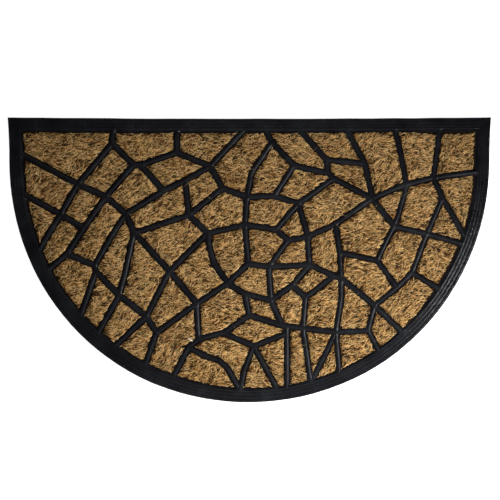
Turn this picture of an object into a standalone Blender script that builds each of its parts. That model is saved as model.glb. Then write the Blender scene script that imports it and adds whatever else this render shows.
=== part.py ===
"""Half-round doormat: black rubber moulded over one sheet of coir, 750 mm along its straight edge.

The sheet of coir lies on a thin rubber back. A web of rubber ribs, laid out like crazy paving, is
pressed into it from above, so the coir stays thick inside each cell and is pinched under the ribs.
A ridged rubber border holds the ends of the ribs and the rim of the coir.

Lengths here are millimetres until a mesh is made. The mat lies flat with its back on z = 0, its
straight edge towards +Y, its round side towards -Y and its middle over the origin.
"""

import math

import bmesh
import bpy
from mathutils import Vector

MM = 0.001

# Outline: a half circle, two short sides that flare a little, and a straight edge bowed inwards
WIDTH = 750.0
ARC_RADIUS = 372.3
ARC_Y = 151.4
TOP_Y = 220.9
TOP_BOW = 2.3
SIDE_FLARE = WIDTH / 2 - ARC_RADIUS
RIM_STEP = 20.0

# Border: four ridges on a ramp. The innermost ridge is shaped like a rib and takes the ribs' ends
RIDGES = 4
RIDGE_PITCH = 5.1
RIDGE_CREST = 1.8
GROOVE_FLOOR = 1.1
GROOVE_DEPTH = 1.5
RIM_LINE = 17.0
RAMP = 0.2
EDGE_HEIGHT = 4.4

# Layers, from the floor up
BACK = 2.0
GAP = 0.3
PINCHED_COIR = 2.0
CREST_HEIGHT = 9.0
PAD_HEIGHT = 7.7
PAD_CROWN = 0.5

# Half of a rib's section: half its width, and the height there
RIB_HALF_SECTION = (
    (1.2, CREST_HEIGHT),
    (2.7, 8.5),
    (4.1, 7.2),
    (4.75, BACK + GAP + PINCHED_COIR + GAP),
)
RIB_FOOT, WEB_UNDERSIDE = RIB_HALF_SECTION[-1]

# A pad's shoulder above its foot: how far in from the foot, and the height
PAD_SHOULDER = (
    (0.5, 6.3),
    (2.0, PAD_HEIGHT),
)

# Junctions of the ribs: x and y. Capitals T, R, B and L are ends on the top, right, bottom and left
# of the border; small letters a to e go down the mat in rows, and k are bends within a rib
JUNCTIONS = {
    "T1": (-212, 202), "T2": (-112, 202), "T3": (-8, 202), "T4": (24, 202),
    "T5": (77, 202), "T6": (150, 202), "T7": (225, 202), "T8": (295, 202),
    "R1": (355, 136), "R2": (335, 34), "R3": (332, 24),
    "R4": (296, -46), "R5": (238, -113), "R6": (201, -142),
    "B1": (139, -175), "B2": (95, -190), "B3": (58, -199), "B4": (43, -201),
    "B5": (-14, -204), "B6": (-119, -183), "B7": (-162, -165),
    "B8": (-210, -135), "B9": (-236, -115), "B10": (-262, -88),
    "L1": (-314, -17), "L2": (-327, 14), "L3": (-353, 102), "L4": (-355, 165),
    "a1": (-213, 180), "a2": (-180, 147), "a3": (-169, 147), "a4": (-113, 166), "a5": (-61, 145),
    "a6": (35, 182), "a7": (69, 146), "a8": (119, 155), "a9": (122, 134), "a10": (130, 126),
    "a11": (179, 149), "a12": (190, 95), "a13": (243, 117), "a14": (285, 127), "a15": (299, 95),
    "b1": (-266, 117), "b2": (-223, 98), "b3": (-192, 71), "b4": (-133, 107), "b5": (-100, 123),
    "b6": (-42, 111), "b7": (-94, 69), "b8": (-4, 97), "b9": (3, 135), "b10": (38, 99),
    "b11": (76, 87), "b12": (133, 55), "b13": (224, 52), "b14": (275, 40),
    "c1": (-293, 70), "c2": (-257, 49), "c3": (-283, 9), "c4": (-240, -9), "c5": (-238, -18),
    "c6": (-179, 42), "c7": (-65, 41), "c8": (-7, 54), "c9": (41, 47), "c10": (60, 30),
    "c11": (90, 36), "c12": (140, 11), "c13": (198, -1), "c14": (252, -20), "c15": (229, -43),
    "d1": (-202, -55), "d2": (-124, -18), "d4": (-34, -36), "d5": (-2, -6), "d6": (30, -11),
    "d7": (93, -8), "d8": (131, -25), "d9": (142, -29), "d10": (66, -40), "d11": (87, -58),
    "d12": (194, -71),
    "e1": (-160, -88), "e2": (-144, -113), "e3": (-82, -68), "e4": (-7, -53), "e5": (33, -63),
    "e6": (-1, -86), "e7": (51, -102), "e8": (58, -103), "e9": (83, -106), "e10": (134, -112),
    "e11": (184, -110), "e12": (-79, -123), "e13": (-94, -135), "e14": (-40, -113), "e15": (6, -134),
    "e16": (58, -114),
    "k1": (234, 166), "k2": (240, 101), "k3": (231, 70), "k4": (-215, 35), "k5": (-193, -22),
    "k6": (-62, 19), "k7": (-55, -6), "k8": (-70, -149), "k9": (-47, -156), "k10": (-35, -167),
    "k11": (-8, -171), "k12": (142, -60),
}

# Each rib runs through the junctions named on its line
RIBS = (
    "T1 a1 b1 c1 L2",
    "a1 a2 a3 a4 a5",
    "T2 a4",
    "L4 b1 b2 b3",
    "a2 b2 c2 c3 L1",
    "L3 c1 c2",
    "a3 b4",
    "b3 b4 b5 a5",
    "b3 c6",
    "b3 k4 c4 c5 B10",
    "c3 c4",
    "c5 d1 e1 e2 B7",
    "e1 B8",
    "c6 k5 d1 B9",
    "c6 d2 e3",
    "c6 b7",
    "b5 b7",
    "b7 b6",
    "b7 c7",
    "T3 a5 b6 b8",
    "T4 a6 b9 b8 c8 d5",
    "a6 a7 a9",
    "a7 b10",
    "b8 b10 b11",
    "T5 a8 a9 a10 a12",
    "a8 a11",
    "T6 a11 a12",
    "a10 b11 c9",
    "b11 c11",
    "c7 c8 c9 c10 c11 b12 a12",
    "c11 d7",
    "a12 a13 a14 R1",
    "T7 k1 a13",
    "T8 a14",
    "a12 b13",
    "a13 k2 k3 b13 c13",
    "a14 a15 R2",
    "a15 b14",
    "b13 b14 R3",
    "b14 c14 c15 d12",
    "c14 R4",
    "b12 c12 d9",
    "c12 c13 c15",
    "c7 d2 e1",
    "c7 k6 k7 d4",
    "e3 d4 d5 d6 d7 d8 d9 d12 R5",
    "c10 d6",
    "d4 e4 e5",
    "e4 e6 e7 e8 e9 e10 e11",
    "d6 e5 e7",
    "d7 d10 e5",
    "d10 d11 d8",
    "d11 e9",
    "d9 k12 e10 B1",
    "e10 B2",
    "d12 e11 R6",
    "e9 B2",
    "e8 e16 B3",
    "e16 e15",
    "e6 e14 e12 e13 B6",
    "e3 e12",
    "e2 e3",
    "e14 e15 k11 B5",
    "e15 B4",
    "e13 k8 k9 k10 B5",
)

# Finish: colour and roughness of each material, and the angle above which an edge is left crisp
RUBBER_COLOUR = (0.012, 0.012, 0.014, 1.0)
RUBBER_ROUGHNESS = 0.55
COIR_COLOUR = (0.300, 0.170, 0.065, 1.0)
COIR_ROUGHNESS = 0.95
CRISP_ANGLE = math.radians(35.0)

# Points of the plan closer together than this are one point
WELD = 0.01


def rim_point(turn, inset):
    """The point of the outline at a turn, moved inwards by inset.

    The turn goes from 0 to 1 along the straight edge from left to right, to 2 down the right side,
    to 3 round the arc and to 4 up the left side.
    """
    stretch = int(turn) % 4
    part = turn - int(turn)
    half = WIDTH / 2 - inset
    if stretch == 0:
        across = 2.0 * part - 1.0
        return Vector((half * across, TOP_Y - inset - TOP_BOW * (1.0 - across**2)))
    if stretch == 2:
        angle = math.pi * part
        radius = ARC_RADIUS - inset
        return Vector((radius * math.cos(angle), ARC_Y - radius * math.sin(angle)))
    drop = part if stretch == 1 else 1.0 - part
    side = 1.0 if stretch == 1 else -1.0
    x = ARC_RADIUS - inset + SIDE_FLARE * (1.0 - drop) ** 2
    return Vector((side * x, ARC_Y + (TOP_Y - inset - ARC_Y) * (1.0 - drop)))


def rim_turn(x, y, inset):
    """The turn of a point near the rim line: from its angle on the arc, or its place along an edge."""
    if y < ARC_Y:
        return 2.0 + math.atan2(ARC_Y - y, x) / math.pi
    if TOP_Y - y < WIDTH / 2 - abs(x):
        return (x / (WIDTH / 2 - inset) + 1.0) / 2.0
    drop = (TOP_Y - inset - y) / (TOP_Y - inset - ARC_Y)
    return 1.0 + drop if x > 0 else 4.0 - drop


def rim_turns(end_turns):
    """Turns of the points that draw a rim line.

    They are the ribs' ends, the ends of the four stretches, and even steps between them.
    """
    lengths = (WIDTH, TOP_Y - ARC_Y, math.pi * ARC_RADIUS, TOP_Y - ARC_Y)
    marks = sorted({0.0, 1.0, 2.0, 3.0, 4.0}.union(end_turns))
    turns = []
    for start, stop in zip(marks, marks[1:]):
        steps = max(1, round((stop - start) * lengths[int(start)] / RIM_STEP))
        turns += [start + (stop - start) * step / steps for step in range(steps)]
    return turns


def place(vertex, turn, inset, height):
    """Puts a vertex on the outline moved in by inset, at a height, and keeps its turn."""
    vertex.co = Vector((*rim_point(turn, inset), height)) * MM


def add_web_plan(mesh, rim_line, height):
    """Adds the plan of the web at a height: a flat face for each cell, out to the ribs' middle lines.

    The rim line, rim_line in from the outline, first bounds one large face, and the ribs split it.
    """
    turn_of = mesh.verts.layers.float["turn"]
    ends = {name: spot for name, spot in JUNCTIONS.items() if name[0].isupper()}
    end_turns = {name: rim_turn(x, y, rim_line) for name, (x, y) in ends.items()}
    rim = {}
    for turn in rim_turns(end_turns.values()):
        vertex = mesh.verts.new()
        vertex[turn_of] = turn
        place(vertex, turn, rim_line, height)
        rim[turn] = vertex
    plan = mesh.faces.new(reversed(rim.values()))
    plan.normal_update()

    knots = {name: rim[turn] for name, turn in end_turns.items()}
    for name, (x, y) in JUNCTIONS.items():
        if name not in ends:
            knots[name] = mesh.verts.new(Vector((x, y, height)) * MM)
    ribs = []
    for line in RIBS:
        names = line.split()
        ribs += [mesh.edges.new((knots[one], knots[two])) for one, two in zip(names, names[1:])]
    return list(bmesh.utils.face_split_edgenet(plan, ribs))


def inset_cells(mesh, cells, distance, height):
    """Moves each cell's edge inwards by a distance and to a height, and leaves a strip behind it."""
    bmesh.ops.inset_individual(mesh, faces=cells, thickness=distance * MM, use_even_offset=True)
    for cell in cells:
        for vertex in cell.verts:
            vertex.co.z = height * MM


def close_rim(mesh, section):
    """Carries the open rim through rows of inset and height, then closes it with a flat face."""
    turn_of = mesh.verts.layers.float["turn"]
    rim = [edge for edge in mesh.edges if edge.is_boundary]
    for inset, height in section:
        grown = bmesh.ops.extrude_edge_only(mesh, edges=rim)["geom"]
        for vertex in (item for item in grown if isinstance(item, bmesh.types.BMVert)):
            place(vertex, vertex[turn_of], inset, height)
        rim = [item for item in grown if isinstance(item, bmesh.types.BMEdge)]
    bmesh.ops.edgeloop_fill(mesh, edges=rim)


def border_section():
    """Rows of inset and height across the border, from the innermost ridge out and down."""
    rows = []
    for ridge in range(RIDGES):
        crest = RIM_LINE - ridge * RIDGE_PITCH
        crest_height = CREST_HEIGHT - RAMP * (RIM_LINE - crest)
        if ridge > 0:
            rows.append((crest + RIDGE_CREST / 2, crest_height))
        rows.append((crest - RIDGE_CREST / 2, crest_height))
        if ridge < RIDGES - 1:
            groove = crest - RIDGE_PITCH / 2
            floor = crest_height - RAMP * RIDGE_PITCH / 2 - GROOVE_DEPTH
            rows.append((groove + GROOVE_FLOOR / 2, floor))
            rows.append((groove - GROOVE_FLOOR / 2, floor))
    return rows + [(0.0, EDGE_HEIGHT), (0.0, 0.0)]


def new_mesh():
    """An empty mesh whose vertices can keep their turn along the outline."""
    mesh = bmesh.new()
    mesh.verts.layers.float.new("turn")
    return mesh


def rubber_moulding():
    """The back, the ridged border and the web, in one piece with a slot for the coir under the ribs."""
    mesh = new_mesh()

    # The web's underside round every cell, and below it the slot down to the back
    lower_cells = add_web_plan(mesh, RIM_LINE, WEB_UNDERSIDE)
    inset_cells(mesh, lower_cells, RIB_FOOT, WEB_UNDERSIDE)
    close_rim(mesh, [(RIM_LINE, BACK)])

    # The web's upper side: crests, flanks and feet of the ribs, and the border down to the floor
    upper_cells = add_web_plan(mesh, RIM_LINE, CREST_HEIGHT)
    reached = 0.0
    for half_width, height in RIB_HALF_SECTION:
        inset_cells(mesh, upper_cells, half_width - reached, height)
        reached = half_width
    close_rim(mesh, border_section())

    # The two sides meet at the ribs' feet, where every cell is open from the slot upwards
    bmesh.ops.delete(mesh, geom=lower_cells + upper_cells, context="FACES_ONLY")
    return mesh


def coir_sheet():
    """One sheet of coir: a thin slab under the ribs, with a crowned pad standing up in each cell."""
    mesh = new_mesh()
    slab_top = BACK + GAP + PINCHED_COIR
    cells = add_web_plan(mesh, RIM_LINE + GAP, slab_top)
    inset_cells(mesh, cells, RIB_FOOT + GAP, slab_top)
    reached = 0.0
    for inwards, height in PAD_SHOULDER:
        inset_cells(mesh, cells, inwards - reached, height)
        reached = inwards
    close_rim(mesh, [(RIM_LINE + GAP, BACK + GAP)])
    bmesh.ops.poke(mesh, faces=cells, offset=PAD_CROWN * MM, center_mode="MEAN_WEIGHTED")
    return mesh


def finish_part(name, mesh, colour, roughness, collection):
    """Welds the seams, turns the faces outwards, and links the object with its own material."""
    bmesh.ops.remove_doubles(mesh, verts=mesh.verts, dist=WELD * MM)
    bmesh.ops.recalc_face_normals(mesh, faces=mesh.faces)
    data = bpy.data.meshes.new(name)
    mesh.to_mesh(data)
    mesh.free()
    data.shade_smooth()
    data.set_sharp_from_angle(angle=CRISP_ANGLE)

    material = bpy.data.materials.new(name)
    material.use_nodes = True
    shader = material.node_tree.nodes["Principled BSDF"]
    shader.inputs["Base Color"].default_value = colour
    shader.inputs["Roughness"].default_value = roughness
    shader.inputs["Metallic"].default_value = 0.0
    data.materials.append(material)

    part = bpy.data.objects.new(name, data)
    collection.objects.link(part)
    return part


def build():
    """Empties the scene and makes the two sub-parts of the mat."""
    for old in list(bpy.data.objects):
        bpy.data.objects.remove(old, do_unlink=True)
    collection = bpy.data.collections.new("half_round_doormat")
    bpy.context.scene.collection.children.link(collection)
    finish_part("rubber_moulding", rubber_moulding(), RUBBER_COLOUR, RUBBER_ROUGHNESS, collection)
    finish_part("coir_sheet", coir_sheet(), COIR_COLOUR, COIR_ROUGHNESS, collection)


build()
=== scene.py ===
# %% [markdown]
# A half-round coir doormat
#
# The real mat is a tray of black moulded rubber with a sheet of coir pressed into it. Rubber ribs, laid
# out like crazy paving, hold the coir down, and the coir stands up as a rough golden pile in every cell
# between them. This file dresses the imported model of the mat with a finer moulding, a lumpy coir sheet
# and many thousand loose fibres, and lights it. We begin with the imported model, because every new piece
# takes its place from it. Blender counts in metres, so lengths are written as so many times MM.

# %% The frame
import math

import bmesh
import bpy
import numpy as np
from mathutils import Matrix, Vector
from mathutils.geometry import delaunay_2d_cdt


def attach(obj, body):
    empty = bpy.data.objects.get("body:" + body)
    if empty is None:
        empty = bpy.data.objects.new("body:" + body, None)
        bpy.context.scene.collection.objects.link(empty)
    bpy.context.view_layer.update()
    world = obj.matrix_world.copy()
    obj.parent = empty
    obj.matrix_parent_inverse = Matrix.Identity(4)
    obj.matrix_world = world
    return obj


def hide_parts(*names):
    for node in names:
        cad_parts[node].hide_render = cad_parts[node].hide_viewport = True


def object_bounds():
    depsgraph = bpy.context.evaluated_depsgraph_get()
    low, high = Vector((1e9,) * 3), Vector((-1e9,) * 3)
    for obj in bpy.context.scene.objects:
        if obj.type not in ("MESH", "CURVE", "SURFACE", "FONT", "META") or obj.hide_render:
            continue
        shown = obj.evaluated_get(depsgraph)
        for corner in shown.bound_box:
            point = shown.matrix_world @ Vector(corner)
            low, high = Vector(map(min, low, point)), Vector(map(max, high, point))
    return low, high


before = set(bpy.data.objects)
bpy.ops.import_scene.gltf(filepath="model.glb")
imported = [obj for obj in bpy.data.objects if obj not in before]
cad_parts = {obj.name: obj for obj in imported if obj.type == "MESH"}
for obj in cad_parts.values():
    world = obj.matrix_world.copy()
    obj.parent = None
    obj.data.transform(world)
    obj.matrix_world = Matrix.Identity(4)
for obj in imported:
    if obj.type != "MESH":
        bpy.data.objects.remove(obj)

MM = 0.001
CAD_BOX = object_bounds()
print("CAD box, mm:", [round(side / MM, 1) for side in CAD_BOX[1] - CAD_BOX[0]])

# %% [markdown]
# Camera
#
# The photograph looks straight down, so the camera hangs over the mat with no turn at all. A camera
# without perspective would do too, but a photographer has a long lens, here 2 m up. The sensor is to
# the lens as the picture's width on the mat is to the distance of the mat's edge.

# %% Camera
PICTURE_WIDTH = 775.6 * MM
PICTURE_CENTRE = (1.1 * MM, 15.0 * MM)
CAMERA_HEIGHT = 2.0
EDGE_HEIGHT = 4.4 * MM
SENSOR_MM = 36.0

camera_data = bpy.data.cameras.new("camera")
camera_data.sensor_width = SENSOR_MM
camera_data.lens = SENSOR_MM * (CAMERA_HEIGHT - EDGE_HEIGHT) / PICTURE_WIDTH
camera = bpy.data.objects.new("camera", camera_data)
camera.location = (*PICTURE_CENTRE, CAMERA_HEIGHT)
bpy.context.scene.collection.objects.link(camera)
bpy.context.scene.camera = camera
print("lens, mm:", round(camera_data.lens, 1))

# %% [markdown]
# Reading the web of ribs
#
# The ribs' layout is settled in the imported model, so it is read from there. A CAD node is loose
# triangles, so corners in one place are first made one point. Then edges can be followed from point to
# point until an outline closes.

# %% Reading a node
SAME_POINT = 0.01 * MM


def welded(node):
    """Points and triangles of a CAD node: corners that round to the same 0.01 mm become one point."""
    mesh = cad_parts[node].data
    points = np.empty(len(mesh.vertices) * 3)
    mesh.vertices.foreach_get("co", points)
    corners = np.empty(len(mesh.loops), int)
    mesh.loops.foreach_get("vertex_index", corners)
    keys, index = np.unique(np.round(points.reshape(-1, 3) / SAME_POINT), axis=0, return_inverse=True)
    return keys * SAME_POINT, index.ravel()[corners].reshape(-1, 3)


def edges_of(triangles):
    """The directed edges of triangles: each corner with the next one round."""
    return np.stack([triangles, np.roll(triangles, -1, axis=1)], axis=-1).reshape(-1, 2)


def closed_outlines(edges):
    """Follows directed edges from point to point until each outline closes on itself."""
    after = dict(edges.tolist())
    outlines = []
    while after:
        outline = [next(iter(after))]
        while outline[-1] in after:
            outline.append(after.pop(outline[-1]))
        outlines.append(np.array(outline[:-1]))
    return outlines


RUBBER_POINTS, RUBBER_TRIANGLES = welded("rubber_moulding")
print("rubber points:", len(RUBBER_POINTS), "triangles:", len(RUBBER_TRIANGLES))

# %% [markdown]
# Cells of the web
#
# Every cell is a hole in the web, and its edge, the foot of the ribs around it, lies at one known
# height. So the edges wanted are those at that height which belong to a rising flank.

# %% Cells of the web
FOOT_HEIGHT = 4.6 * MM
SAME_HEIGHT = 5 * SAME_POINT


def twice_area(outline):
    """Twice the area in a closed outline: the sum of x1 y2 - y1 x2, which is positive if anticlockwise."""
    after = np.roll(outline, -1, axis=0)
    return np.sum(outline[:, 0] * after[:, 1] - outline[:, 1] * after[:, 0])


def feet_of_ribs():
    """The foot of the ribs round each cell, anticlockwise, as corners in x and y."""
    height = RUBBER_POINTS[:, 2]
    at_foot = np.abs(height - FOOT_HEIGHT) < SAME_HEIGHT
    rising = height[RUBBER_TRIANGLES].max(axis=1) > FOOT_HEIGHT + MM
    flank = RUBBER_TRIANGLES[(at_foot[RUBBER_TRIANGLES].sum(axis=1) == 2) & rising]
    edges = edges_of(flank)
    edges = edges[at_foot[edges].all(axis=1)]
    outlines = [RUBBER_POINTS[outline, :2] for outline in closed_outlines(edges)]
    return [xy if twice_area(xy) > 0 else xy[::-1] for xy in outlines]


FEET = feet_of_ribs()
print("cells:", len(FEET))

# %% [markdown]
# Outlines on the crests
#
# Moved outwards by half a rib, the outlines of two neighbours meet on the crest of the rib between
# them. Scaling a cell up wouldn't do that: its corners have to slide along their mitres, as those of a
# picture frame do when its sides are cut wider.

# %% Outlines on the crests
FOOT_INSET = 4.75 * MM
SAME_CORNER = 10 * SAME_POINT


def shifted(outline, distance):
    """A closed outline moved inwards: each corner slides along its mitre.

    With unit normals n1 and n2 of the sides that meet there, it moves by
    distance * (n1 + n2) / (1 + n1 . n2).
    """
    side = np.roll(outline, -1, axis=0) - outline
    normal = np.stack([-side[:, 1], side[:, 0]], axis=1) / np.linalg.norm(side, axis=1)[:, None]
    before = np.roll(normal, 1, axis=0)
    return outline + distance * (before + normal) / (1 + np.sum(before * normal, axis=1))[:, None]


def dealt_out(values, outlines):
    """Values for the corners of all the outlines, cut into one row for each outline."""
    return np.split(values, np.cumsum([len(outline) for outline in outlines])[:-1])


def shared_corners(outlines):
    """Outlines with corners nearer than SAME_CORNER made one, each named by the number of the first."""
    corners = np.concatenate(outlines)
    apart = np.linalg.norm(corners[:, None] - corners, axis=2)
    names = dealt_out(np.argmax(apart < SAME_CORNER, axis=1), outlines)
    return [corners[own] for own in names], names


CELLS, CORNER_NAMES = shared_corners([shifted(foot, -FOOT_INSET) for foot in FEET])
print("shared corners:", len(set(np.concatenate(CORNER_NAMES).tolist())))

# %% [markdown]
# Steps along the ribs
#
# All the ribs' sides will be grids, along a cell's outline and down the rib. Both cells beside a rib
# must step along it in the same places, to be welded along the crest, so the number of steps depends on
# the rib's length alone.

# %% Steps
STEP = 3.0 * MM
TIE_BREAK = 0.001


def step_counts(outline):
    """Steps for each side: its length over STEP, at least one. TIE_BREAK makes both its cells agree."""
    length = np.linalg.norm(np.roll(outline, -1, axis=0) - outline, axis=1)
    return np.maximum(1, np.round(length / STEP + TIE_BREAK).astype(int))


def sampled(outline, counts):
    """Points along a closed outline: counts[k] even steps on the side that starts at corner k."""
    side = np.repeat(np.arange(len(outline)), counts)
    start = np.repeat(np.cumsum(counts) - counts, counts)
    share = (np.arange(counts.sum()) - start) / counts[side]
    return outline[side] + share[:, None] * (np.roll(outline, -1, axis=0) - outline)[side]


print("steps round all the cells:", sum(step_counts(cell).sum() for cell in CELLS))

# %% [markdown]
# Outlines of the web and the mat
#
# The border lies between the outlines of the whole web and of the mat. Both are made of edges that only
# one face touches. An edge from a to b on one face runs from b to a on its neighbour, and where that
# reverse is missing, there is no neighbour.

# %% Outer outlines
def free_edges(edges):
    """Which directed edges have no reverse among them. An edge from a to b counts as a * many + b."""
    many = edges.max() + 1
    return ~np.isin(edges[:, 1] * many + edges[:, 0], edges[:, 0] * many + edges[:, 1])


def web_outline():
    """The web's outline, made of sides that only one cell has, and which sides of each cell those are."""
    edges = np.concatenate([np.column_stack([names, np.roll(names, -1)]) for names in CORNER_NAMES])
    free = free_edges(edges)
    (outline,) = closed_outlines(edges[free])
    return np.concatenate(CELLS)[outline], dealt_out(free, CELLS)


def mat_outline():
    """The mat's outline on the floor: the free edges of its bottom, turned round, as that faces down.

    Its first corner is the one that puts all its corners nearest to the web's.
    """
    at_bottom = (RUBBER_POINTS[RUBBER_TRIANGLES, 2] < SAME_POINT).all(axis=1)
    edges = edges_of(RUBBER_TRIANGLES[at_bottom])
    (outline,) = closed_outlines(edges[free_edges(edges)])
    xy = RUBBER_POINTS[outline[::-1], :2]
    apart = [np.linalg.norm(np.roll(xy, -turn, axis=0) - WEB) for turn in range(len(xy))]
    return np.roll(xy, -int(np.argmin(apart)), axis=0)


WEB, BORDER_SIDES = web_outline()
MAT = mat_outline()
print("corners of the web:", len(WEB), "of the mat:", len(MAT))

# %% [markdown]
# Bulges of the arc
#
# The arc of a real mat isn't a true half circle: rubber shrinks and gets bent. This one stands out a
# little in two places, which smooth humps give without a kink.

# %% Bulges of the arc
ARC_CENTRE = 151.4 * MM
BULGES = [
    # place round the arc and width in degrees, from the right end clockwise, and height in mm
    (128, 28, 2.6),
    (50, 25, 1.4),
]


def bulged(outline):
    """An outline, its arc pushed out in broad humps of height * exp(-((turn - place) / width)^2)."""
    turn = np.degrees(np.arctan2(ARC_CENTRE - outline[:, 1], outline[:, 0]))
    push = sum(height * MM * np.exp(-(((turn - place) / width) ** 2)) for place, width, height in BULGES)
    out = outline - (0.0, ARC_CENTRE)
    return outline + (push * (turn > 0))[:, None] * out / np.linalg.norm(out, axis=1)[:, None]


OUTLINE = bulged(MAT)
print("pushed out by at most, mm:", round(np.linalg.norm(OUTLINE - MAT, axis=1).max() / MM, 1))

# %% [markdown]
# Unevenness
#
# Nothing about this mat is quite regular: the ribs wander, the pile is lumpy, and the fibres lie in
# drifts. All of it comes from one kind of random value: numbers on the points of a square lattice,
# blended in between. They are seeded, so every run gives the same mat.

# %% Smooth random values
DRIFT_LATTICE = 257
WANDER = 0.25 * MM
WANDER_SIZE = 34 * MM
WANDER_SEEDS = 11, 12


def drift(xy, size, seed):
    """Smooth random values from -1 to 1 at points x, y.

    The four lattice numbers round a point are blended with weights 3t^2 - 2t^3, where t is the share of
    the way across the lattice square. Size is the square's side.
    """
    numbers = np.random.default_rng(seed).uniform(-1, 1, (DRIFT_LATTICE, DRIFT_LATTICE))
    place = xy / size + DRIFT_LATTICE / 2
    corner = np.floor(place).astype(int)
    t = place - corner
    t = t * t * (3 - 2 * t)
    i, j = (corner % (DRIFT_LATTICE - 1)).T
    low = numbers[i, j] * (1 - t[:, 0]) + numbers[i + 1, j] * t[:, 0]
    high = numbers[i, j + 1] * (1 - t[:, 0]) + numbers[i + 1, j + 1] * t[:, 0]
    return low * (1 - t[:, 1]) + high * t[:, 1]


def drifts(xy, parts, unit=1.0, start=0.0):
    """Start plus several drifts, each given by the most it adds in units, its size in mm and its seed."""
    return sum((most * unit * drift(xy, size * MM, seed) for most, size, seed in parts), start)


def wandering(points):
    """Moves points sideways by up to WANDER, the same way for every piece, so that all still fit."""
    xy = points[:, :2].copy()
    for axis, seed in enumerate(WANDER_SEEDS):
        points[:, axis] += WANDER * drift(xy, WANDER_SIZE, seed)
    return points


print("the mat's middle wanders by, mm:", np.round(wandering(np.zeros((1, 3)))[0, :2] / MM, 2))

# %% [markdown]
# The flank of a rib
#
# A rib is half round, so a lamp shows on it as one thin bright line, a little to the lamp's side of its
# crest. Its section is a row of insets and heights, closer where that line is. Where the border meets
# the coir, the edge is sharper: a narrow lip that rises a tenth of a millimetre, then a straight flank.

# %% The flank of a rib
CREST_HEIGHT = 9.0 * MM
RIB_TURNS = np.radians([0, 5, 11, 18, 26, 36, 48, 64, 90])
RIB_INSETS = FOOT_INSET * np.sin(RIB_TURNS)
ROUND_SIDE = FOOT_HEIGHT + (CREST_HEIGHT - FOOT_HEIGHT) * np.cos(RIB_TURNS)
FLANK = np.stack([RIB_INSETS, ROUND_SIDE], axis=1)
CRISP_CREST = 0.35 * MM
CRISP_FLANK = 0.9
LIP_WIDTH = 0.45 * MM
LIP_RISE = 0.22


def crisp_side():
    """Heights down the border's inner side: a narrow lip, and a straight flank with a small round crest.

    The lip rises by LIP_RISE * inset. The fall at d past it is sqrt(crest^2 + (flank * d)^2) - crest,
    and a fourth power lands it on its foot.
    """
    past = np.maximum(RIB_INSETS - LIP_WIDTH, 0)
    fallen = np.sqrt(CRISP_CREST**2 + (CRISP_FLANK * past) ** 2) - CRISP_CREST
    height = CREST_HEIGHT + LIP_RISE * np.minimum(RIB_INSETS, LIP_WIDTH) - fallen
    return height - (height[-1] - FOOT_HEIGHT) * (RIB_INSETS / FOOT_INSET) ** 4


print("the lip rises by, mm:", round((crisp_side().max() - CREST_HEIGHT) / MM, 2))

# %% [markdown]
# Rings round a cell
#
# A curve with a round bevel along each rib would be quick, but such tubes cut through each other where
# ribs meet. Here each cell's outline is drawn again and again, each time further in and lower down the
# rib's side, so the flanks meet in clean mitres. Near the foot, a running mean rounds its corners.

# %% Rings round a cell
CORNER_ROUNDING = 2


def running_mean(ring, share):
    """CORNER_ROUNDING times, moves a point by a share of the way to the mean of it and its neighbours."""
    for _ in range(CORNER_ROUNDING):
        mean = (np.roll(ring, 1, axis=0) + ring + np.roll(ring, -1, axis=0)) / 3
        ring = ring + share * (mean - ring)
    return ring


def cell_rings(cell, section):
    """The outline of a cell, carried down a section of insets and heights: a grid of rows x steps x 3.

    The share of rounding is (inset / FOOT_INSET)^2, and all of it from the foot on.
    """
    counts = step_counts(cell)
    rows = []
    for inset, height in section:
        share = min(1.0, inset / FOOT_INSET) ** 2
        ring = running_mean(sampled(shifted(cell, inset), counts), share)
        rows.append(np.column_stack([ring, np.full(len(ring), height)]))
    return np.array(rows)


def ring_faces(grid):
    """Quads between neighbouring rows of a closed grid, facing up where the rows run inwards."""
    rows, steps = grid.shape[:2]
    row = np.arange(rows - 1)[:, None] * steps
    here = np.arange(steps)
    ahead = (here + 1) % steps
    quads = [row + here, row + ahead, row + steps + ahead, row + steps + here]
    return np.stack(quads, axis=-1).reshape(-1, 4)


print("the first cell's flanks, rows and steps:", cell_rings(CELLS[0], FLANK).shape[:2])

# %% [markdown]
# The border
#
# The border slopes from the web down to the mat's edge in low ridges that run right round. It is one
# more grid: a section, carried round. Each ridge is a piece of a parabola, and two meet in a sharp
# groove. A smooth wave would blur those fine dark lines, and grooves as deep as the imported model's would
# shine too much.

# %% Section of the border
BORDER = 17.0 * MM
WHOLE_RIDGES = 3
RIDGE_PITCH = 5.1 * MM
RIDGE_ROWS = np.array([0.0, 0.5, 1.1, 1.8, 2.7, 3.3, 3.9, 4.5]) * MM
RIDGE_MIDDLE = 0.15 * MM
RIDGE_DEPTH = 0.5 * MM
RAMP = 0.2
EDGE_ROUNDING = 1.7 * MM
EDGE_TURNS = np.radians([0, 25, 50, 72])


def border_section():
    """Inset and height across the border, from the floor up the edge and over the ridges to the web.

    At a distance d from the web, the border has fallen by RAMP * d, and by RIDGE_DEPTH * (2 u)^2 at u
    pitches from the middle of a ridge. The edge is part of a quarter of an ellipse.
    """
    rows = np.arange(WHOLE_RIDGES)[:, None] * RIDGE_PITCH + RIDGE_ROWS
    from_web = np.append(rows.ravel(), BORDER - EDGE_ROUNDING)[::-1]
    u = (from_web - RIDGE_MIDDLE) / RIDGE_PITCH
    lower = RIDGE_DEPTH * (2 * (u - np.round(u))) ** 2
    height = CREST_HEIGHT - RAMP * from_web - lower + lower[-1]
    edge = EDGE_ROUNDING * (1 - np.cos(EDGE_TURNS))
    edge_height = EDGE_HEIGHT + (height[0] - EDGE_HEIGHT) * np.sin(EDGE_TURNS)
    wall = [(0.0, 0.0), (0.0, EDGE_HEIGHT / 2)]
    ridges = np.column_stack([BORDER - from_web, height])
    return np.concatenate([wall, np.column_stack([edge, edge_height]), ridges])


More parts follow.
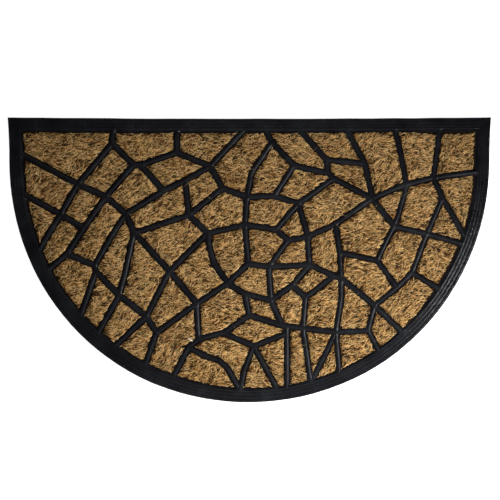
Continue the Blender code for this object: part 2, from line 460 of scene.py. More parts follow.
def border_grid(section):
    """A section carried round the web's outline: a grid of rows x steps x 3.

    The row at an inset is the mat's outline, moved by inset / BORDER of the way to the web's outline.
    """
    counts = step_counts(WEB)
    rows = []
    for inset, height in section:
        ring = sampled(OUTLINE + inset / BORDER * (WEB - OUTLINE), counts)
        rows.append(np.column_stack([ring, np.full(len(ring), height)]))
    return np.array(rows)


print("the border, rows and steps:", border_grid(border_section()).shape[:2])

# %% [markdown]
# A mesh from grids
#
# Grids that meet each have their own copy of the points along their shared edge. So all the grids of a
# piece go into one mesh, and points in one place are welded. Once the surface is closed, Blender can tell
# its outside from its inside, and turns every face outwards.

# %% A mesh from grids
WELD_DISTANCE = 2 * SAME_POINT


def placed(name, mesh):
    """A new object with this mesh, shaded smooth, that rides on the mat's one body."""
    mesh.shade_smooth()
    piece = bpy.data.objects.new(name, mesh)
    bpy.context.scene.collection.objects.link(piece)
    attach(piece, "root")
    return piece


def welded_piece(name, grids):
    """One piece from grids of points and faces, welded within WELD_DISTANCE, all faces turned outwards.

    A grid's faces number its own points from 0, so the count of the points before it is added.
    """
    points, faces, count = [], [], 0
    for own_points, own_faces in grids:
        points.append(own_points.reshape(-1, 3))
        faces += (np.asarray(own_faces) + count).tolist()
        count += len(points[-1])
    mesh = bpy.data.meshes.new(name)
    mesh.from_pydata(wandering(np.concatenate(points)).tolist(), [], faces)
    piece = placed(name, mesh)
    joined = bmesh.new()
    joined.from_mesh(mesh)
    bmesh.ops.remove_doubles(joined, verts=joined.verts, dist=WELD_DISTANCE)
    bmesh.ops.recalc_face_normals(joined, faces=joined.faces)
    open_edges = sum(not edge.is_manifold for edge in joined.edges)
    joined.to_mesh(mesh)
    joined.free()
    triangles = sum(len(face.vertices) - 2 for face in mesh.polygons)
    print(name, "triangles:", triangles, "open edges:", open_edges)
    return piece


print("points are welded within, mm:", WELD_DISTANCE / MM)

# %% [markdown]
# The rubber moulding
#
# Now the moulding can be put together: the flanks of the ribs and the web's underside cell by cell, the
# border, the flat back, and the walls of the slot that the coir lies in. Creases over CRISP_ANGLE stay
# crisp, so that the grooves and the lip catch the light as thin lines.

# %% The rubber moulding
BACK_HEIGHT = 2.0 * MM
UNDERSIDE = [(0.0, FOOT_HEIGHT), (FOOT_INSET, FOOT_HEIGHT)]
SLOT_WALL = [(BORDER, BACK_HEIGHT), (BORDER, FOOT_HEIGHT)]
CRISP_ANGLE = math.radians(22)


def make_moulding():
    """The moulding, closed all round. A grid that has to face the other way has its faces reversed."""
    grids = []
    for cell, along_border in zip(CELLS, BORDER_SIDES):
        rings = cell_rings(cell, FLANK)
        rings[:, np.repeat(along_border, step_counts(cell)), 2] = crisp_side()[:, None]
        under = cell_rings(cell, UNDERSIDE)
        grids += [(rings, ring_faces(rings)), (under, ring_faces(under)[:, ::-1])]
    border = border_grid(border_section())
    slot = border_grid(SLOT_WALL)
    around = np.arange(len(slot[0]))[None]
    grids += [(border, ring_faces(border)), (border[0], around[:, ::-1])]
    grids += [(slot, ring_faces(slot)[:, ::-1]), (slot[0], around)]
    piece = welded_piece("rubber_web_and_border", grids)
    piece.data.set_sharp_from_angle(angle=CRISP_ANGLE)
    return piece


moulding = make_moulding()
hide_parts("rubber_moulding")

# %% [markdown]
# The body of the coir
#
# Under the fibres lies one sheet of coir, pinched thin below the ribs and thick in the cells. Its dome,
# the lean of its pile and its shade all depend on how deep in a cell a point lies, so depth comes first.
# At the mat's two ends the border shades the coir beside it, and the pile begins a little further in.

# %% Depth in a cell
LEFT_SHADE = 1.6 * MM
RIGHT_SHADE = 3.4 * MM
RIGHT_END = 240 * MM, 290 * MM
ROOM = CAD_BOX[1].x, CAD_BOX[1].y
TINY_DISTANCE = 1e-9


def inside(cell, xy):
    """Whether points lie in a cell: a ray to the right crosses its outline an odd number of times.

    A level side is never crossed, so its rise may be taken as 1, and no division fails.
    """
    x1, y1 = cell.T
    x2, y2 = np.roll(cell, -1, axis=0).T
    x, y = xy[:, :1], xy[:, 1:]
    across = (y1 > y) != (y2 > y)
    meets = x1 + (y - y1) / np.where(y2 == y1, 1, y2 - y1) * (x2 - x1)
    return (across & (x < meets)).sum(axis=1) % 2 == 1


def leftness(xy):
    """How far to the left a point lies, from 0 on the right end of the mat to 1 on the left end."""
    return np.clip(0.5 - xy[:, 0] / (2 * ROOM[0]), 0, 1)


def border_shade(xy):
    """How far the coir keeps clear of the border, most at the mat's two ends.

    It is LEFT_SHADE * leftness^2 + RIGHT_SHADE * (3t^2 - 2t^3), with t going from 0 to 1 over RIGHT_END.
    """
    t = np.clip((xy[:, 0] - RIGHT_END[0]) / (RIGHT_END[1] - RIGHT_END[0]), 0, 1)
    return LEFT_SHADE * leftness(xy) ** 2 + RIGHT_SHADE * t * t * (3 - 2 * t)


def depth_in_cell(number, xy):
    """How deep points lie in a cell, and the unit direction inwards from the side that they lie nearest.

    Depth is the distance from it, less the shade along the border, and negative outside the cell.
    """
    cell = CELLS[number]
    run = np.roll(cell, -1, axis=0) - cell
    share = np.einsum("psk,sk->ps", xy[:, None] - cell, run) / np.sum(run * run, axis=1)
    away = xy[:, None] - cell - np.clip(share, 0, 1)[..., None] * run
    distance = np.maximum(np.linalg.norm(away, axis=2), TINY_DISTANCE)
    sign = np.where(inside(cell, xy), 1.0, -1.0)[:, None]
    short = distance - sign * border_shade(xy)[:, None] * BORDER_SIDES[number]
    side = np.argmin(short, axis=1)
    pick = np.arange(len(xy))
    return (sign * short)[pick, side], (sign[..., None] * away / distance[..., None])[pick, side]


print("cells along the border:", sum(bool(sides.any()) for sides in BORDER_SIDES))

# %% [markdown]
# The lean of the pile
#
# In the photograph each cell is dark along its upper left ribs and bright up to its lower right ones.
# The pile has been brushed one way: it leans off the upper left ribs and presses on the lower right ones,
# and the dome and the wisps' places follow its lean. The wisps' tones use it too: painted shade along a
# cell's upper left ribs, and a painted highlight along its lower right ones.

# %% The lean of the pile
LEAN_WAY = np.array([0.93, -0.37])
LEAN_REACH = 1.6
LEAN_FADE = 9 * MM


def lean_at(depth, inwards):
    """How far the pile leans: inwards . LEAN_WAY, times LEAN_REACH - depth / LEAN_FADE kept in 0 to 1.

    It is near 1 where the pile leans away from the rib, and near -1 where it leans on the rib.
    """
    return inwards @ LEAN_WAY * np.clip(LEAN_REACH - depth / LEAN_FADE, 0, 1)


print("the pile leans towards, degrees:", round(math.degrees(math.atan2(LEAN_WAY[1], LEAN_WAY[0]))))

# %% [markdown]
# The height of the pile
#
# The face of the coir rises fast out of the rib's foot, then slowly to a low dome. No simple formula has
# that shape, so it is a table, with straight lines in between that the wisps will hide. The lean draws
# the dome's edge out or in, and lumps of two sizes are added away from it.

# %% The height of the pile
PAD_PROFILE = np.array([
    # depth and height in mm
    (5.05, 4.3), (5.55, 5.7), (6.5, 6.5), (7.75, 7.2), (9.3, 7.7), (11.5, 8.05), (15.0, 8.25), (19.0, 8.3),
]) * MM
LEAN_STRETCH = 0.6
LUMPS = [(0.35, 11, 21), (0.15, 5, 22)]
LUMPS_START = 6 * MM
LUMPS_FADE = 3 * MM


def dome(depth, lean):
    """Height and slope of the pad's dome, its edge drawn out to 1 + LEAN_STRETCH * lean times its width."""
    start = PAD_PROFILE[0, 0]
    stretch = 1 + LEAN_STRETCH * lean
    place = start + (depth - start) / stretch
    slopes = np.gradient(PAD_PROFILE[1:, 1], PAD_PROFILE[1:, 0])
    return np.interp(place, *PAD_PROFILE.T), np.interp(place, PAD_PROFILE[1:, 0], slopes) / stretch


def pile_height(xy, depth, lean):
    """Height of the coir's face: the dome, and LUMPS that grow from LUMPS_START over LUMPS_FADE."""
    lumps = drifts(xy, LUMPS, unit=MM)
    return dome(depth, lean)[0] + lumps * np.clip((depth - LUMPS_START) / LUMPS_FADE, 0, 1)


print("the dome rises, mm:", round(np.ptp(PAD_PROFILE[:, 1]) / MM, 1))

# %% [markdown]
# The coir sheet
#
# The sheet's face follows each cell on rings, as the ribs do. Inside the last ring it is an even field
# of points, joined up by a Delaunay triangulation, which fits any outline. A plane with a displacement
# map would need far more faces to be as sharp at the ribs.

# %% The coir sheet
SLAB_TOP = 4.3 * MM
SLAB_BOTTOM = 2.3 * MM
PAD_INSETS = np.array([0.0, 5.05, 5.55, 7.05, 8.6]) * MM
FIELD_STEP = 3.4 * MM
FIELD_INSET = PAD_INSETS[-1] + FIELD_STEP / 2
ROW_STEP = FIELD_STEP * math.sqrt(0.75)
KEEP_INSIDE = 1
MERGE_WITHIN = 1e-7


def field_points(number):
    """A triangular lattice of points in a cell, deeper than FIELD_INSET. Odd rows are half a step on."""
    cell = CELLS[number]
    low, high = cell.min(axis=0), cell.max(axis=0)
    x, y = np.meshgrid(np.arange(low[0], high[0], FIELD_STEP), np.arange(low[1], high[1], ROW_STEP))
    x = x + FIELD_STEP / 2 * (np.arange(len(x)) % 2)[:, None]
    xy = np.column_stack([x.ravel(), y.ravel()])
    xy = xy[inside(cell, xy)]
    return xy[depth_in_cell(number, xy)[0] > FIELD_INSET]


def raised(number, xy):
    """Points x, y of a cell with the height of the pile there."""
    depth, inwards = depth_in_cell(number, xy)
    return np.column_stack([xy, pile_height(xy, depth, lean_at(depth, inwards))])


def make_coir_sheet():
    """The sheet: rings and a field of points in each cell, and the cut edge and the back round them."""
    grids = []
    for number, cell in enumerate(CELLS):
        rings = cell_rings(cell, [(inset, SLAB_TOP) for inset in PAD_INSETS])
        grids.append((raised(number, rings.reshape(-1, 3)[:, :2]), ring_faces(rings)))
        rim = rings[-1][:, :2]
        around = np.arange(len(rim))
        sides = np.column_stack([around, np.roll(around, -1)]).tolist()
        xy = np.concatenate([rim, field_points(number)]).tolist()
        spots, _, faces, *_ = delaunay_2d_cdt(xy, sides, [around.tolist()], KEEP_INSIDE, MERGE_WITHIN)
        grids.append((raised(number, np.array(spots)), faces))
    edge = border_grid([(BORDER, SLAB_BOTTOM), (BORDER, SLAB_TOP)])
    grids += [(edge, ring_faces(edge)), (edge[0], np.arange(len(edge[0]))[None, ::-1])]
    return welded_piece("coir_sheet_body", grids)


coir = make_coir_sheet()
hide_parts("coir_sheet")

# %% [markdown]
# Loose fibres
#
# Coir is the husk of the coconut: stiff hairs a tenth of a millimetre thick, that cling together in wisps
# about a millimetre wide and up to two centimetres long. The wisps are what shows, so one small shape
# here is one wisp. Hair particles would be easier, but only the renderer sees them, and the finished
# model has to be a mesh. First come the wisps' places.

# %% Places for the wisps
EDGE_DEPTH = 5.2 * MM
THROWS = 3


def spots_in_cells(count, seed):
    """Random points in cells, deeper than EDGE_DEPTH, and the number of each point's cell.

    THROWS times as many are thrown over the mat's box, and the first count that land in a cell are kept.
    """
    random = np.random.default_rng(seed)
    thrown = random.uniform(-1, 1, (count * THROWS, 2)) * ROOM
    owner = np.full(len(thrown), -1)
    for number, cell in enumerate(CELLS):
        near = np.flatnonzero(((thrown > cell.min(axis=0)) & (thrown < cell.max(axis=0))).all(axis=1))
        held = near[inside(cell, thrown[near])]
        deep = depth_in_cell(number, thrown[held])[0] > EDGE_DEPTH
        owner[held[deep]] = number
    kept = np.flatnonzero(owner >= 0)[:count]
    return thrown[kept], owner[kept]


print("wisps begin at a depth of, mm:", round(EDGE_DEPTH / MM, 1))

# %% [markdown]
# Grain and tone
#
# The wisps lie in drifts that mostly run up to the right, as in combed felt. Their tones are patchy at
# random. At a cell's edge they also carry painted shade where the pile leans away from the rib, and a
# painted highlight where it leans on the rib and, more faintly, all round: the light and shade of the
# pile's sloping edges and of hairs too fine to model.

# %% Grain and tone
GRAIN = 0.33
GRAIN_DRIFTS = [(0.7, 26, 31), (0.3, 9, 32)]
TONE_DRIFTS = [(0.06, 70, 41), (0.08, 9, 42), (0.06, 4.5, 43)]
# painted shade and painted highlight at a cell's edge, set by the lean of the pile
EDGE_PAINTED_SHADE = 0.58
EDGE_PAINTED_SHADE_FADE = 9 * MM
EDGE_PAINTED_HIGHLIGHT = 0.3
EDGE_PAINTED_HIGHLIGHT_ALL_ROUND = 0.03
EDGE_PAINTED_HIGHLIGHT_FADE = 6 * MM


def grain(xy):
    """The way the wisps run at a point, in radians: GRAIN and drifts of two sizes."""
    return drifts(xy, GRAIN_DRIFTS, start=GRAIN)


def fading(depth, reach):
    """From 1 at EDGE_DEPTH evenly down to 0 at reach past it."""
    return np.clip(1 - (depth - EDGE_DEPTH) / reach, 0, 1)


def tone_at(xy, depth, lean):
    """Patches of three sizes, with painted shade of strength lean and a painted highlight of strength
    -lean, plus a faint one all round, near a cell's edge.
    """
    painted_shade = EDGE_PAINTED_SHADE * np.clip(lean, 0, 1) * fading(depth, EDGE_PAINTED_SHADE_FADE)
    painted_highlight = (EDGE_PAINTED_HIGHLIGHT_ALL_ROUND + EDGE_PAINTED_HIGHLIGHT * np.clip(-lean, 0, 1)) * fading(depth, EDGE_PAINTED_HIGHLIGHT_FADE)
    return drifts(xy, TONE_DRIFTS) + painted_highlight - painted_shade


print("the wisps run at, degrees:", round(math.degrees(GRAIN)))

# %% [markdown]
# Laying wisps on the pile
#
# A wisp's path starts as a level curve, and is then laid on the pile. Where it strays over a rib it is
# pushed back into its own cell, as the rib would do. The wisp also has to know which way is out of the
# pile, so that it lies flat on the dome's edge too.

# %% Laying wisps
LEAN_GAP = 0.5 * MM
SHOULDER = 5.6 * MM
LEAN_SHOULDER = 0.9 * MM


def laid_on_pile(path, owner, margin):
    """Lays paths on their own cells' pile. Gives them, the way out of the pile, and mean depth and lean.

    A point too near the rib is moved inwards to its path's margin, plus LEAN_GAP * lean. It gets the
    height of the pile at least SHOULDER deep, or up to LEAN_SHOULDER more where the pile leans on the
    rib. The way out of the pile is (-slope * inwards, 1), with slope the dome's rise per step inwards.
    """
    steps = path.shape[1]
    outwards = np.zeros_like(path)
    depths = np.zeros(len(path))
    leans = np.zeros(len(path))
    for number in np.unique(owner):
        members = np.flatnonzero(owner == number)
        xy = path[members, :, :2].reshape(-1, 2)
        depth, inwards = depth_in_cell(number, xy)
        lean = lean_at(depth, inwards)
        short = np.maximum(0, np.repeat(margin[members], steps) + LEAN_GAP * lean - depth)
        xy += short[:, None] * inwards
        depth += short
        resting = np.maximum(depth, SHOULDER + LEAN_SHOULDER * np.maximum(-lean, 0))
        height = pile_height(xy, resting, lean)
        path[members] = np.column_stack([xy, height]).reshape(-1, steps, 3)
        slope = dome(depth, lean)[1][:, None] * inwards
        outwards[members] = np.column_stack([-slope, np.ones(len(xy))]).reshape(-1, steps, 3)
        depths[members] = depth.reshape(-1, steps).mean(axis=1)
        leans[members] = lean.reshape(-1, steps).mean(axis=1)
    return path, outwards, depths, leans


print("wisps rest from a depth of, mm:", round(SHOULDER / MM, 1))

# %% [markdown]
# The shape of a wisp
#
# There are tens of thousands of wisps, so each is as cheap as can be: two flattened triangles round its
# path, between two pointed ends. Its twelve triangles are closed all round, and enough for a spindle
# that bends. A loop over wisps would be slow, so a layer is worked out at once, as whole arrays.

# %% The shape of a wisp
WISP_PATH = np.array([-0.5, -0.19, 0.19, 0.5])
WISP_CORNERS = np.radians([90, 215, 325])
WISP_FLATNESS = 0.7
WISP_FACES = np.array([
    (0, 2, 1), (0, 3, 2), (0, 1, 3),
    (1, 2, 5), (1, 5, 4), (2, 3, 6), (2, 6, 5), (3, 1, 4), (3, 4, 6),
    (4, 5, 7), (5, 6, 7), (6, 4, 7),
])
BOW = 0.12
TWIST = 0.05


def level_paths(spots, turn, long, random):
    """Level paths through the spots, bowed and twisted a little on their way.

    At share t along it, from -1/2 to 1/2, a path is bow (1/2 - 4 t^2) + twist sin(2 pi t) to the side.
    """
    bow = BOW * long * random.normal(size=len(spots))
    twist = TWIST * long * random.normal(size=len(spots))
    run = WISP_PATH * long[:, None]
    sway = bow[:, None] * (0.5 - 4 * WISP_PATH**2) + twist[:, None] * np.sin(2 * np.pi * WISP_PATH)
    cos, sin = np.cos(turn)[:, None], np.sin(turn)[:, None]
    x = spots[:, :1] + run * cos - sway * sin
    y = spots[:, 1:] + run * sin + sway * cos
    return np.stack([x, y, np.zeros_like(x)], axis=-1)


def wisp_points(path, outwards, width):
    """Eight points a wisp: its two tips, and a flattened triangle round each inner point of its path.

    A ring's corner at turn f is centre + width / 2 * (cos f * side + flatness * sin f * up). Side is
    square to the path and to the way out of the pile, and up is square to side and path.
    """
    along = path[:, 2:] - path[:, :-2]
    along /= np.linalg.norm(along, axis=2)[..., None]
    side = np.cross(along, outwards[:, 1:3])
    side /= np.linalg.norm(side, axis=2)[..., None]
    up = np.cross(side, along)
    across = np.cos(WISP_CORNERS)[:, None] * side[:, :, None]
    upwards = WISP_FLATNESS * np.sin(WISP_CORNERS)[:, None] * up[:, :, None]
    rings = path[:, 1:3, None] + width[:, None, None, None] / 2 * (across + upwards)
    return np.concatenate([path[:, :1], rings.reshape(-1, 6, 3), path[:, 3:]], axis=1)


print("triangles in a wisp:", len(WISP_FACES))

# %% [markdown]
# One mesh of many wisps
#
# An object for every wisp would bring Blender to a halt, so a whole layer is one mesh. Its UV map
# carries two facts to the material: across it lies the wisp's tone, and along it the place on the wisp.

# %% One mesh
MAP_MARGIN = 0.01
MAP_ACROSS = 0.004 * np.array([0, -1, 0, 1, -1, 0, 1, 0])
MAP_ALONG = np.array([0.02, 0.3, 0.3, 0.3, 0.7, 0.7, 0.7, 0.98])


def wisp_mesh(name, path, outwards, width, tone):
    """All the wisps as one piece. U is the tone within MAP_MARGIN, plus MAP_ACROSS, and V is MAP_ALONG."""
    count = len(path)
    points = wisp_points(path, outwards, width).reshape(-1, 3)
    faces = (WISP_FACES + len(MAP_ALONG) * np.arange(count)[:, None, None]).reshape(-1, 3)
    mesh = bpy.data.meshes.new(name)
    mesh.vertices.add(len(points))
    mesh.vertices.foreach_set("co", points.ravel())
    mesh.loops.add(faces.size)
    mesh.loops.foreach_set("vertex_index", faces.ravel())
    mesh.polygons.add(len(faces))
    mesh.polygons.foreach_set("loop_start", 3 * np.arange(len(faces)))
    mesh.update(calc_edges=True)
    u = (MAP_MARGIN + (1 - 2 * MAP_MARGIN) * np.clip(tone, 0, 1))[:, None] + MAP_ACROSS
    uv = np.stack([u, np.broadcast_to(MAP_ALONG, u.shape)], axis=-1).reshape(-1, 2)
    mesh.uv_layers.new(name="OFBake").data.foreach_set("uv", uv[faces.ravel()].ravel())
    print(name, "wisps:", count, "triangles:", len(faces))
    return placed(name, mesh)


print("points in a wisp:", len(MAP_ALONG))

# %% [markdown]
# Four layers of wisps
#
# Four layers lie on each other, as in the real felt. The lowest has broad wisps, dark with dirt and with
# painted shade, and each one above is finer and paler. Length, width, height, bend and tone all vary at
# random, because that makes a heap of spindles look like coir.

# %% Four layers of wisps
LAYERS = [
    # name, how many, length and width in mm, height over the pile and arch in mm, tone, seed
    ("coir_wisps_low", 11000, 11.5, 1.75, 0.0, 0.3, 0.28, 51),
    ("coir_wisps_middle", 15500, 11.5, 1.3, 0.3, 0.4, 0.43, 52),
    ("coir_wisps_upper", 16500, 10.5, 1.05, 0.6, 0.6, 0.54, 53),
    ("coir_wisps_top", 16500, 10.5, 0.88, 0.9, 0.8, 0.59, 54),
]
SHAPE_SEED = 100
SCATTER = 0.47
LENGTH_SPREAD = 0.35
WIDTH_SPREAD = 0.25
TONE_SPREAD = 0.66
LEFT_EDGE_DEPTH = 0.7 * MM
RAGGED_MM = -0.6, 0.4
RISES = 0.3, 1.2
ARCHES = 0.4, 1.2


def wisp_layer(name, many, length, width, rise, arch, tone, seed):
    """A layer of wisps: paths that follow the pile, lifted by a rise and an arch of 1 - 6 t^2.

    T is the share along the path, from -1/2 to 1/2. Lengths and widths are spread by exp(spread * normal).
    """
    spots, owner = spots_in_cells(many, seed)
    random = np.random.default_rng(seed + SHAPE_SEED)
    count = len(spots)
    turn = grain(spots) + SCATTER * random.normal(size=count)
    long = length * MM * np.exp(LENGTH_SPREAD * random.normal(size=count))
    path = level_paths(spots, turn, long, random)
    ragged = MM * random.uniform(*RAGGED_MM, count)
    margin = EDGE_DEPTH + LEFT_EDGE_DEPTH * leftness(spots) + ragged
    path, outwards, depth, lean = laid_on_pile(path, owner, margin)
    height = rise * random.uniform(*RISES, (count, 1))
    bend = arch * random.uniform(*ARCHES, (count, 1)) * (1 - 6 * WISP_PATH**2)
    path[:, :, 2] += MM * (height + bend)
    wide = width * MM * np.exp(WIDTH_SPREAD * random.normal(size=count))
    shade = tone + tone_at(spots, depth, lean) + TONE_SPREAD * random.normal(size=count)
    return wisp_mesh(name, wandering(path.reshape(-1, 3)).reshape(path.shape), outwards, wide, shade)


wisps = [wisp_layer(*layer) for layer in LAYERS]

# %% [markdown]
# Stray hairs
#
# A few hairs have worked loose. They are thinner than a wisp, lie on top of everything and don't keep to
# a cell, so some of them cross a rib, as on a mat in use.

# %% Stray hairs
HAIRS = 90
HAIR_SEEDS = 61, 62
HAIR_LENGTH = 18 * MM
HAIR_LENGTH_SPREAD = 0.3
HAIR_WIDTH = 0.45 * MM
HAIR_SCATTER = 0.8
HAIR_TONES = 0.6, 0.95
HAIR_MARGIN = 7 * MM
TOP_HEIGHT = 9.7 * MM
TOP_ARCH = 0.5 * MM


def lay_on_top(path, random):
    """Lifts level paths above the ribs, to TOP_HEIGHT + TOP_ARCH * (a random share - 6 t^2)."""
    path[:, :, 2] = TOP_HEIGHT + TOP_ARCH * (random.uniform(size=(len(path), 1)) - 6 * WISP_PATH**2)
    return path, np.broadcast_to((0.0, 0.0, 1.0), path.shape)


def make_stray_hairs():
    """Thin hairs at random over the web, without those whose ends reach the border."""
    random = np.random.default_rng(HAIR_SEEDS[0])
    spots, _ = spots_in_cells(HAIRS, HAIR_SEEDS[1])
    long = HAIR_LENGTH * np.exp(HAIR_LENGTH_SPREAD * random.normal(size=HAIRS))
    hairs = level_paths(spots, grain(spots) + HAIR_SCATTER * random.normal(size=HAIRS), long, random)
    ends = hairs[:, ::3, :2].reshape(-1, 2)
    hairs = hairs[inside(shifted(WEB, HAIR_MARGIN), ends).reshape(-1, 2).all(axis=1)]
    tone = random.uniform(*HAIR_TONES, len(hairs))
    width = np.full(len(hairs), HAIR_WIDTH)
    return wisp_mesh("coir_stray_hairs", *lay_on_top(hairs, random), width, tone)


wisps.append(make_stray_hairs())

# %% [markdown]
# A pale tuft
#
# On the lower left, one tuft of bleached fibre has been pulled up beside a rib. It is far paler than all
# other coir, so it is a piece of its own with its own material.

# %% A pale tuft
TUFT_SEED = 63
TUFT_WISPS = 9
TUFT_PLACE = np.array([-91.5, -124.0]) * MM
TUFT_SCATTER = 0.5 * MM
TUFT_TURN = math.radians(-30)
TUFT_FAN = 0.1
TUFT_LENGTHS_MM = 8, 11
TUFT_WIDTHS_MM = 1.0, 1.6
TUFT_TONES = 0.3, 1.0


def make_tuft():
    """The pale tuft: short, broad wisps that lie almost on each other."""
    random = np.random.default_rng(TUFT_SEED)
    places = TUFT_PLACE + TUFT_SCATTER * random.normal(size=(TUFT_WISPS, 2))
    turn = TUFT_TURN + TUFT_FAN * random.normal(size=TUFT_WISPS)
    long = MM * random.uniform(*TUFT_LENGTHS_MM, TUFT_WISPS)
    path = level_paths(places, turn, long, random)
    wide = MM * random.uniform(*TUFT_WIDTHS_MM, TUFT_WISPS)
    path, outwards = lay_on_top(path, random)
    tone = random.uniform(*TUFT_TONES, TUFT_WISPS)
    return wisp_mesh("coir_pale_tuft", path, outwards, wide, tone)


tuft = make_tuft()

# %% [markdown]
# Materials
#
# All the finishes are made of noise, of ramps that turn a value into a colour, and of bump. Noise has no
# seams and no end, which a picture wrapped round the pieces would have. Each helper makes a node and
# feeds it in one line.

# %% Material helpers
NOISE_SPAN = 0.3, 0.7


def fed(tree, made, **inputs):
    """A node, each named input set to its value, or linked where the value is another node's output."""
    for name, value in inputs.items():
        socket = made.inputs[name.replace("_", " ")]
        if isinstance(value, bpy.types.NodeSocket):
            tree.links.new(value, socket)
        else:
            socket.default_value = value
    return made


def node(tree, kind, **inputs):
    """A new node, fed with its inputs."""
    return fed(tree, tree.nodes.new(kind), **inputs)


def new_material(name, **inputs):
    """A material, its node tree, and its Principled shader, fed with its inputs."""
    material = bpy.data.materials.new(name)
    material.use_nodes = True
    tree = material.node_tree
    return material, tree, fed(tree, tree.nodes["Principled BSDF"], **inputs)


def noise(tree, place, scale, detail, **inputs):
    """Noise at a place: a value that hardly leaves NOISE_SPAN."""
    made = node(tree, "ShaderNodeTexNoise", Vector=place, Scale=scale, Detail=detail, **inputs)
    return made.outputs["Fac"]


def spread_over(tree, value, low, high):
    """A noise value spread evenly over low to high."""
    span = {"From_Min": NOISE_SPAN[0], "From_Max": NOISE_SPAN[1], "To_Min": low, "To_Max": high}
    return node(tree, "ShaderNodeMapRange", Value=value, **span).outputs["Result"]


def bumped(tree, height, strength, distance, **inputs):
    """The normal of a surface that is bumped by a height."""
    made = node(tree, "ShaderNodeBump", Height=height, Strength=strength, Distance=distance, **inputs)
    return made.outputs["Normal"]


def colour_ramp(tree, value, stops):
    """A colour for a value from 0 to 1, blended between stops of a position and a colour."""
    ramp = node(tree, "ShaderNodeValToRGB", Fac=value)
    elements = ramp.color_ramp.elements
    while len(elements) < len(stops):
        elements.new(0.5)
    for element, (position, colour) in zip(elements, stops):
        element.position = position
        element.color = (*colour, 1.0)
    return ramp.outputs["Color"]


def product(tree, first, second):
    """Two colours multiplied."""
    mix = node(tree, "ShaderNodeMix", Factor=1.0)
    mix.data_type = "RGBA"
    mix.blend_type = "MULTIPLY"
    tree.links.new(first, mix.inputs[6])
    tree.links.new(second, mix.inputs[7])
    return mix.outputs[2]


print("noise is taken to span:", NOISE_SPAN)

# %% [markdown]
# Coir
#
# Each wisp has one tone, from dirty brown to pale straw, which its UV map holds. A wisp is also uneven
# along its length and darker towards both ends, and some are redder and others yellower. Noise and ramps
# do that. Dry fibre hardly shines.

# %% Coir
COIR_TONES = [
    (0.0, (0.018, 0.008, 0.002)),
    (0.3, (0.150, 0.064, 0.015)),
    (0.55, (0.415, 0.208, 0.057)),
    (0.8, (0.740, 0.425, 0.140)),
    (1.0, (0.950, 0.690, 0.330)),
]
PALE_TONES = [(0.0, (0.72, 0.57, 0.40)), (1.0, (1.0, 0.88, 0.72))]
WISP_ENDS = [(0.0, (0.6,) * 3), (0.3, (1.0,) * 3), (0.7, (1.0,) * 3), (1.0, (0.6,) * 3)]
COIR_HUES = [(0.3, (1.0, 0.84, 0.68)), (0.5, (1.0, 1.0, 1.0)), (0.7, (0.93, 1.07, 1.0))]
UNEVENNESS = 0.18
UNEVEN_STRETCH = (60.0, 8.0, 1.0)
HUE_STRETCH = (150.0, 1.5, 1.0)


def stretched_noise(tree, place, stretch, detail):
    """Noise over a UV map, with a number of changes across it and along it."""
    mapped = node(tree, "ShaderNodeMapping", Vector=place, Scale=stretch)
    return noise(tree, mapped.outputs["Vector"], scale=1.0, detail=detail)


def wisp_material(name, tones):
    """Tone from the map's U, plus noise of up to UNEVENNESS, times WISP_ENDS along V, times a hue.

    The noise changes a few times along a wisp. The hue's noise changes so fast across the map that it is
    a new value for each wisp.
    """
    material, tree, shader = new_material(name, Roughness=0.75, Specular_IOR_Level=0.2)
    wisp_map = tree.nodes.new("ShaderNodeUVMap")
    wisp_map.uv_map = "OFBake"
    place = wisp_map.outputs["UV"]
    split = node(tree, "ShaderNodeSeparateXYZ", Vector=place)
    uneven = stretched_noise(tree, place, UNEVEN_STRETCH, 1.0)
    total = tree.nodes.new("ShaderNodeMath")
    tree.links.new(split.outputs["X"], total.inputs[0])
    tree.links.new(spread_over(tree, uneven, -UNEVENNESS, UNEVENNESS), total.inputs[1])
    tone = colour_ramp(tree, total.outputs["Value"], tones)
    ends = colour_ramp(tree, split.outputs["Y"], WISP_ENDS)
    hue = colour_ramp(tree, stretched_noise(tree, place, HUE_STRETCH, 0.0), COIR_HUES)
    fed(tree, shader, Base_Color=product(tree, product(tree, tone, ends), hue))
    return material


fibre = wisp_material("coir_fibre", COIR_TONES)
for piece in wisps:
    piece.data.materials.append(fibre)
tuft.data.materials.append(wisp_material("pale_fibre", PALE_TONES))
print("pieces of fibre:", len(wisps) + 1)

# %% [markdown]
# Felt
#
# Little of the body of the coir shows between the wisps, and no light gets down to it. Its near-black
# colour is painted shade, with fine streaks and a rough bump: the dark gaps that give the pile its depth.

# %% Felt
# near black: painted shade
FELT_PAINTED_SHADE_TONES = [(0.3, (0.005, 0.004, 0.003)), (0.7, (0.028, 0.015, 0.007))]


def felt_material():
    """The felt below the wisps: twisted streaks of noise, as a near-black colour of painted shade and as
    bump.
    """
    material, tree, shader = new_material("coir_felt", Roughness=0.95, Specular_IOR_Level=0.1)
    place = node(tree, "ShaderNodeTexCoord").outputs["Object"]
    streaks = noise(tree, place, scale=900.0, detail=3.0, Distortion=1.5)
    bumps = bumped(tree, streaks, strength=0.6, distance=0.6 * MM)
    fed(tree, shader, Base_Color=colour_ramp(tree, streaks, FELT_PAINTED_SHADE_TONES), Normal=bumps)
    return material


coir.data.materials.append(felt_material())
print("felt on", coir.name)

# %% [markdown]
# Rubber
#
# Rubber is close to black, with a touch of blue. What shows of it is its sheen, and an even sheen looks
# like plastic. So dust makes it lighter and rougher in broad patches, and its skin has shallow waves with
# a fine grain on top, as from a worn mould.

# %% Rubber
RUBBER_TONES = [(0.35, (0.007, 0.007, 0.009)), (0.75, (0.015, 0.016, 0.019))]
RUBBER_ROUGHNESS = 0.19, 0.30


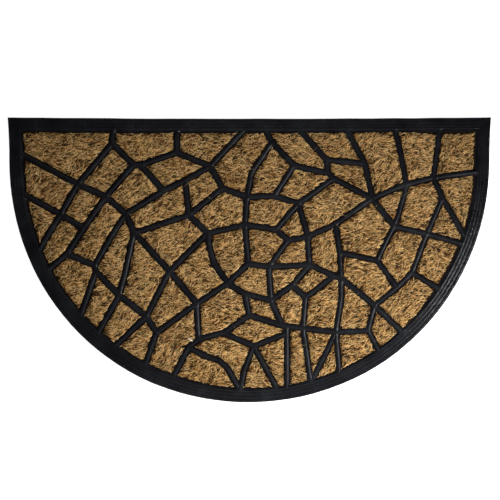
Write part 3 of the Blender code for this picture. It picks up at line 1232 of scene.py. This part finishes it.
def rubber_material():
    """Black rubber: patches drive its colour and roughness, and its grain is bumped onto its waves."""
    material, tree, shader = new_material("moulded_rubber", Specular_IOR_Level=0.09)
    place = node(tree, "ShaderNodeTexCoord").outputs["Object"]
    patches = noise(tree, place, scale=35.0, detail=4.0, Roughness=0.6)
    dust = colour_ramp(tree, patches, RUBBER_TONES)
    dullness = spread_over(tree, patches, *RUBBER_ROUGHNESS)
    broad = noise(tree, place, scale=200.0, detail=2.0)
    waves = bumped(tree, broad, strength=1.0, distance=0.7 * MM)
    fine = noise(tree, place, scale=1400.0, detail=2.0)
    skin = bumped(tree, fine, strength=0.35, distance=0.2 * MM, Normal=waves)
    fed(tree, shader, Base_Color=dust, Roughness=dullness, Normal=skin)
    return material


moulding.data.materials.append(rubber_material())
print("rubber on", moulding.name)

# %% [markdown]
# Floor
#
# The photograph has a plain white ground. Lit by the lamps alone, a floor would be grey in the far
# corner, so this one also glows a little. It is 100 m wide, to fill the picture from low angles too.

# %% Floor
FLOOR_SIZE = 100.0
FLOOR_DROP = 0.2 * MM
FLOOR_PALE = (0.85, 0.85, 0.85, 1.0)
FLOOR_GLOW = 0.95
WHITE = (1.0, 1.0, 1.0, 1.0)


def make_floor():
    """A pale floor, FLOOR_DROP below the mat, that gives off some light of its own."""
    bpy.ops.mesh.primitive_plane_add(size=FLOOR_SIZE, location=(0.0, 0.0, -FLOOR_DROP))
    floor = bpy.context.object
    floor.name = "floor"
    glow = {"Emission_Color": WHITE, "Emission_Strength": FLOOR_GLOW}
    floor.data.materials.append(new_material("floor", Roughness=0.9, Base_Color=FLOOR_PALE, **glow)[0])
    return floor


print("floor, m:", make_floor().dimensions[0])

# %% [markdown]
# Lamps
#
# In the photograph the coir is brightest at the lower right, so the key light is a small lamp over the
# right half of the mat, with a fill from the front. The rubber tells of other lamps: a small gleam far to
# the right draws the thin lines on the ribs, and two broad sheens soften the border. One set can't do
# both, so two lamps light only the colours of things, and three only their gloss.

# %% Lamps
LAMPS = [
    # name, place and target in metres, size in metres, power in watts, and what it lights
    ("key", (0.33, -0.10, 0.64), (-0.2, -0.45, 0.0), 0.22, 5.95, "colour"),
    ("fill", (-0.4, -0.9, 0.6), (0.0, -0.1, 0.0), 0.6, 2.0, "colour"),
    ("gleam", (0.70, -0.20, 0.75), (-0.5, -0.30, 0.0), 0.26, 10.0, "gloss"),
    ("front sheen", (0.15, -0.60, 0.9), (0.0, -0.1, 0.0), 0.85, 3.4, "gloss"),
    ("back sheen", (0.0, 0.8, 0.9), (0.0, 0.2, 0.0), 0.6, 1.4, "gloss"),
]
WORLD_LIGHT = 0.07


def area_lamp(name, place, target, size, power, lights):
    """A square lamp that faces a target, and lights either colour or gloss."""
    data = bpy.data.lights.new(name, "AREA")
    data.size = size
    data.energy = power
    lamp = bpy.data.objects.new(name, data)
    bpy.context.scene.collection.objects.link(lamp)
    lamp.location = place
    backwards = lamp.location - Vector(target)
    lamp.rotation_euler = backwards.to_track_quat("Z", "Y").to_euler()
    lamp.visible_diffuse = lights == "colour"
    lamp.visible_glossy = lights == "gloss"
    return lamp


print("lamps:", [area_lamp(*lamp).name for lamp in LAMPS])
world = bpy.data.worlds.new("world")
world.use_nodes = True
fed(world.node_tree, world.node_tree.nodes["Background"], Color=WHITE, Strength=WORLD_LIGHT)
bpy.context.scene.world = world
bpy.context.scene.view_settings.view_transform = "Standard"
